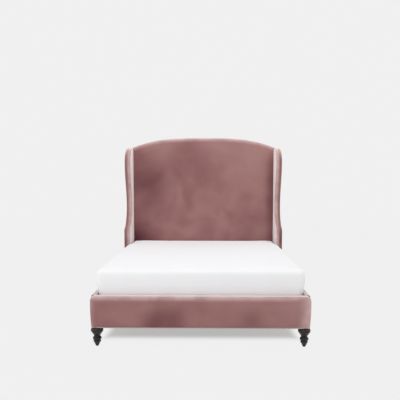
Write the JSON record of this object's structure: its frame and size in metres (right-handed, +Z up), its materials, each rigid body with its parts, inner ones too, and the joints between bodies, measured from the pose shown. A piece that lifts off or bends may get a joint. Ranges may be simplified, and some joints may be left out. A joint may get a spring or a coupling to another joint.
{
  "type": "upholstered winged bed",
  "caption": "Low padded bed frame with a tall arched headboard, serpentine side wings, turned front legs, a slatted base and a mattress in a fitted sheet",
  "frame": {"origin": "on the floor, at the middle of the whole bed's width and length", "axes": "+X across the bed, +Y from the foot towards the headboard, +Z up"},
  "size_m": [1.6598, 2.175, 1.661],
  "materials": {
    "velvet": "dusty pink short-pile velvet with a pale sheen at grazing angles",
    "sheet": "white cotton percale, lightly creased",
    "ticking": "off-white woven mattress ticking",
    "dark_wood": "near-black stained and lacquered turned hardwood",
    "birch_ply": "raw birch plywood",
    "pine": "planed unfinished pine",
    "slat_wood": "sanded pale pine",
    "webbing": "flat woven polyester webbing",
    "zinc_steel": "bright zinc-plated steel",
    "black_plastic": "black moulded plastic"
  },
  "bodies": {
    "frame": {"beam_hangers": "zinc_steel", "centre_beam": "pine", "centre_leg_front": "pine", "centre_leg_rear": "pine", "foot_bottom_rail": "pine", "foot_corner_post_left": "pine", "foot_corner_post_right": "pine", "foot_cover": "velvet", "foot_face_board": "birch_ply", "foot_top_rail": "pine", "front_leg_left": "dark_wood", "front_leg_right": "dark_wood", "headboard_arch_rail": "birch_ply", "headboard_back_cover": "velvet", "headboard_bottom_rail": "pine", "headboard_face_board": "birch_ply", "headboard_mid_rail": "pine", "headboard_pad": "velvet", "headboard_post_left": "pine", "headboard_post_right": "pine", "ledger_left": "pine", "ledger_right": "pine", "ledger_screws": "zinc_steel", "leg_block_left": "pine", "leg_block_right": "pine", "leg_bolts": "zinc_steel", "leg_glides": "black_plastic", "leg_plates": "zinc_steel", "rail_catch_plates": "zinc_steel", "rail_hook_plates": "zinc_steel", "rear_leg_left": "dark_wood", "rear_leg_right": "dark_wood", "side_rail_cover_left": "velvet", "side_rail_cover_right": "velvet", "side_rail_left": "pine", "side_rail_right": "pine", "slat_01": "slat_wood", "slat_02": "slat_wood", "slat_03": "slat_wood", "slat_04": "slat_wood", "slat_05": "slat_wood", "slat_06": "slat_wood", "slat_07": "slat_wood", "slat_08": "slat_wood", "slat_09": "slat_wood", "slat_10": "slat_wood", "slat_11": "slat_wood", "slat_12": "slat_wood", "slat_13": "slat_wood", "slat_straps": "webbing", "wing_board_left": "birch_ply", "wing_board_right": "birch_ply", "wing_bolts": "zinc_steel", "wing_cover_left": "velvet", "wing_cover_right": "velvet"},
    "mattress": {"mattress": "ticking", "fitted_sheet": "sheet"},
    "front_levelling_foot": {"levelling_foot_front": "black_plastic"},
    "rear_levelling_foot": {"levelling_foot_rear": "black_plastic"}
  },
  "joints": [
    {"name": "mattress_lift", "type": "slide", "parent": "frame", "child": "mattress", "axis": [0, 0, 1], "range_m": [0, 0.15]},
    {"name": "front_levelling_screw", "type": "slide", "parent": "frame", "child": "front_levelling_foot", "axis": [0, 0, 1], "range_m": [0, 0.014]},
    {"name": "rear_levelling_screw", "type": "slide", "parent": "frame", "child": "rear_levelling_foot", "axis": [0, 0, 1], "range_m": [0, 0.014]}
  ]
}
